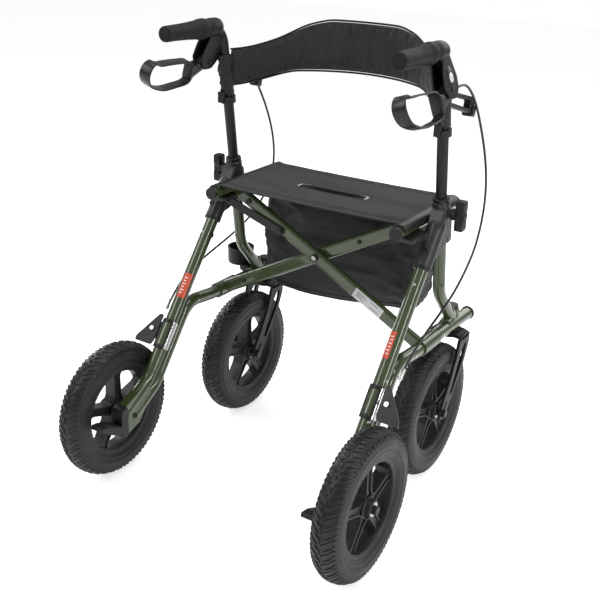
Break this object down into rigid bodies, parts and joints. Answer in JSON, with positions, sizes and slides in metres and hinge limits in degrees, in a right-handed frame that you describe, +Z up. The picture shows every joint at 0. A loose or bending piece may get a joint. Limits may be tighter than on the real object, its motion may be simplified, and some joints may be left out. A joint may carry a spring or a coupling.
{
  "type": "rollator walker",
  "caption": "Folding wheeled walker with a fabric seat, curved back band, height-adjustable handles with loop brakes, swivelling front wheels and a bag under the seat.",
  "frame": {"origin": "on the floor, at the middle of the footprint", "axes": "+X to the walker's right, +Y forward (towards the swivelling wheels), +Z up"},
  "size_m": [0.682, 0.702, 0.952],
  "materials": {
    "frame_paint": "gloss green paint over aluminium tube",
    "cast_grey": "satin dark grey casting",
    "post_black": "matte black tube",
    "fork_black": "satin black moulding",
    "rim_grey": "satin dark grey moulding",
    "tyre_rubber": "matte tread rubber",
    "bright_steel": "bright turned steel",
    "chrome_bolt": "plated",
    "grip_rubber": "moulded soft grip",
    "control_black": "satin black nylon",
    "sleeve_alloy": "bright satin",
    "seat_fabric": "dark grey woven sling",
    "band_fabric": "black padded band",
    "bag_nylon": "black bag nylon",
    "cable_jacket": "black cable jacket",
    "cap_black": "black end cap"
  },
  "bodies": {
    "left_frame": {"left_side_frame": "frame_paint", "left_joint_housing": "cast_grey", "left_frame_fasteners": "chrome_bolt", "left_rear_axle": "chrome_bolt", "left_tube_caps": "cap_black", "left_kerb_pedal": "cap_black", "left_brake_bracket": "sleeve_alloy", "left_brake_cable": "cable_jacket", "storage_bag": "bag_nylon", "stick_cup": "control_black"},
    "left_rear_wheel": {"left_rear_tyre": "tyre_rubber", "left_rear_rim": "rim_grey", "left_rear_bearings": "bright_steel"},
    "left_caster": {"left_caster_fork": "fork_black", "left_fork_stem_and_axle": "chrome_bolt"},
    "left_front_wheel": {"left_front_tyre": "tyre_rubber", "left_front_rim": "rim_grey", "left_front_bearings": "bright_steel"},
    "left_handle": {"left_handle_post": "post_black", "left_grip": "grip_rubber", "left_brake_body": "control_black", "left_backrest_clamp": "control_black", "left_cable_guide": "control_black", "back_band": "band_fabric"},
    "left_lever": {"left_brake_lever": "control_black"},
    "left_brake": {"left_brake_arm": "cap_black"},
    "left_knob": {"left_height_knob": "control_black"},
    "left_link": {"left_fold_link": "cap_black"},
    "right_frame": {"right_side_frame": "frame_paint", "right_joint_housing": "cast_grey", "right_frame_fasteners": "chrome_bolt", "right_rear_axle": "chrome_bolt", "right_tube_caps": "cap_black", "right_kerb_pedal": "cap_black", "right_brake_bracket": "sleeve_alloy", "right_brake_cable": "cable_jacket"},
    "right_rear_wheel": {"right_rear_tyre": "tyre_rubber", "right_rear_rim": "rim_grey", "right_rear_bearings": "bright_steel"},
    "right_caster": {"right_caster_fork": "fork_black", "right_fork_stem_and_axle": "chrome_bolt"},
    "right_front_wheel": {"right_front_tyre": "tyre_rubber", "right_front_rim": "rim_grey", "right_front_bearings": "bright_steel"},
    "right_handle": {"right_handle_post": "post_black", "right_grip": "grip_rubber", "right_brake_body": "control_black", "right_backrest_clamp": "control_black", "right_cable_guide": "control_black"},
    "right_lever": {"right_brake_lever": "control_black"},
    "right_brake": {"right_brake_arm": "cap_black"},
    "right_knob": {"right_height_knob": "control_black"},
    "right_link": {"right_fold_link": "cap_black"},
    "arm_a": {"brace_arm_a": "frame_paint", "right_seat_tube": "frame_paint", "brace_fittings_a": "cap_black", "seat_sling": "seat_fabric"},
    "arm_b": {"brace_arm_b": "frame_paint", "left_seat_tube": "frame_paint", "brace_fittings_b": "cap_black"}
  },
  "joints": [
    {"name": "fold", "type": "hinge", "parent": "left_frame", "child": "arm_a", "pos_m": [-0.259, 0.138, 0.3365], "axis": [0, -1, 0], "range_deg": [0, 42.5], "deforming": ["seat_sling", "storage_bag", "back_band"]},
    {"name": "brace_cross", "type": "hinge", "parent": "arm_a", "child": "arm_b", "pos_m": [0, 0.124, 0.47479], "axis": [0, -1, 0], "range_deg": [-91.39, 0]},
    {"name": "frame_fold", "type": "hinge", "parent": "arm_b", "child": "right_frame", "pos_m": [0.259, 0.138, 0.3365], "axis": [0, -1, 0], "range_deg": [0, 42.5]},
    {"name": "left_link_pivot", "type": "hinge", "parent": "left_frame", "child": "left_link", "pos_m": [-0.226, 0.124, 0.562], "axis": [0, -1, 0], "range_deg": [0, 93.51]},
    {"name": "left_rear_wheel_spin", "type": "hinge", "parent": "left_frame", "child": "left_rear_wheel", "pos_m": [-0.307, -0.201, 0.15], "axis": [1, 0, 0], "continuous": true},
    {"name": "left_caster_swivel", "type": "hinge", "parent": "left_frame", "child": "left_caster", "pos_m": [-0.247, 0.284, 0.34], "axis": [0, 0, 1], "continuous": true},
    {"name": "left_front_wheel_spin", "type": "hinge", "parent": "left_caster", "child": "left_front_wheel", "pos_m": [-0.247, 0.201, 0.15], "axis": [1, 0, 0], "continuous": true},
    {"name": "left_height_slide", "type": "slide", "parent": "left_frame", "child": "left_handle", "axis": [0, -0.1485, 0.9889], "range_m": [-0.108, 0.02], "deforming": ["left_brake_cable"]},
    {"name": "left_lever_pivot", "type": "hinge", "parent": "left_handle", "child": "left_lever", "pos_m": [-0.27463, 0.085, 0.86443], "axis": [-0.9511, 0, 0.309], "range_deg": [0, 9], "stiffness_Nm_per_rad": 1.5, "springref_deg": -5.73},
    {"name": "left_brake_pivot", "type": "hinge", "parent": "left_frame", "child": "left_brake", "pos_m": [-0.289, -0.07927, 0.29619], "axis": [0, -0.797, 0.604], "range_deg": [0, 5.41]},
    {"name": "left_knob_turn", "type": "hinge", "parent": "left_frame", "child": "left_knob", "pos_m": [-0.28, 0.16365, 0.612], "axis": [1, 0, 0], "continuous": true},
    {"name": "right_link_pivot", "type": "hinge", "parent": "right_frame", "child": "right_link", "pos_m": [0.226, 0.124, 0.562], "axis": [0, 1, 0], "range_deg": [0, 93.51]},
    {"name": "right_rear_wheel_spin", "type": "hinge", "parent": "right_frame", "child": "right_rear_wheel", "pos_m": [0.307, -0.201, 0.15], "axis": [1, 0, 0], "continuous": true},
    {"name": "right_caster_swivel", "type": "hinge", "parent": "right_frame", "child": "right_caster", "pos_m": [0.247, 0.284, 0.34], "axis": [0, 0, 1], "continuous": true},
    {"name": "right_front_wheel_spin", "type": "hinge", "parent": "right_caster", "child": "right_front_wheel", "pos_m": [0.247, 0.201, 0.15], "axis": [1, 0, 0], "continuous": true},
    {"name": "right_height_slide", "type": "slide", "parent": "right_frame", "child": "right_handle", "axis": [0, -0.1485, 0.9889], "range_m": [-0.108, 0.02], "deforming": ["right_brake_cable"]},
    {"name": "right_lever_pivot", "type": "hinge", "parent": "right_handle", "child": "right_lever", "pos_m": [0.27463, 0.085, 0.86443], "axis": [-0.9511, 0, -0.309], "range_deg": [0, 9], "stiffness_Nm_per_rad": 1.5, "springref_deg": -5.73},
    {"name": "right_brake_pivot", "type": "hinge", "parent": "right_frame", "child": "right_brake", "pos_m": [0.289, -0.07927, 0.29619], "axis": [0, 0.797, -0.604], "range_deg": [0, 5.41]},
    {"name": "right_knob_turn", "type": "hinge", "parent": "right_frame", "child": "right_knob", "pos_m": [0.28, 0.16365, 0.612], "axis": [1, 0, 0], "continuous": true}
  ],
  "couplings": [
    {"joint": "brace_cross", "follows": "fold", "ratio": -2.15},
    {"joint": "frame_fold", "follows": "fold", "ratio": 1},
    {"joint": "left_link_pivot", "follows": "fold", "ratio": 2.2},
    {"joint": "left_brake_pivot", "follows": "left_lever_pivot", "ratio": 0.6},
    {"joint": "right_link_pivot", "follows": "fold", "ratio": 2.2},
    {"joint": "right_brake_pivot", "follows": "right_lever_pivot", "ratio": 0.6},
    {"joint": "right_height_slide", "follows": "left_height_slide", "ratio": 1}
  ]
}
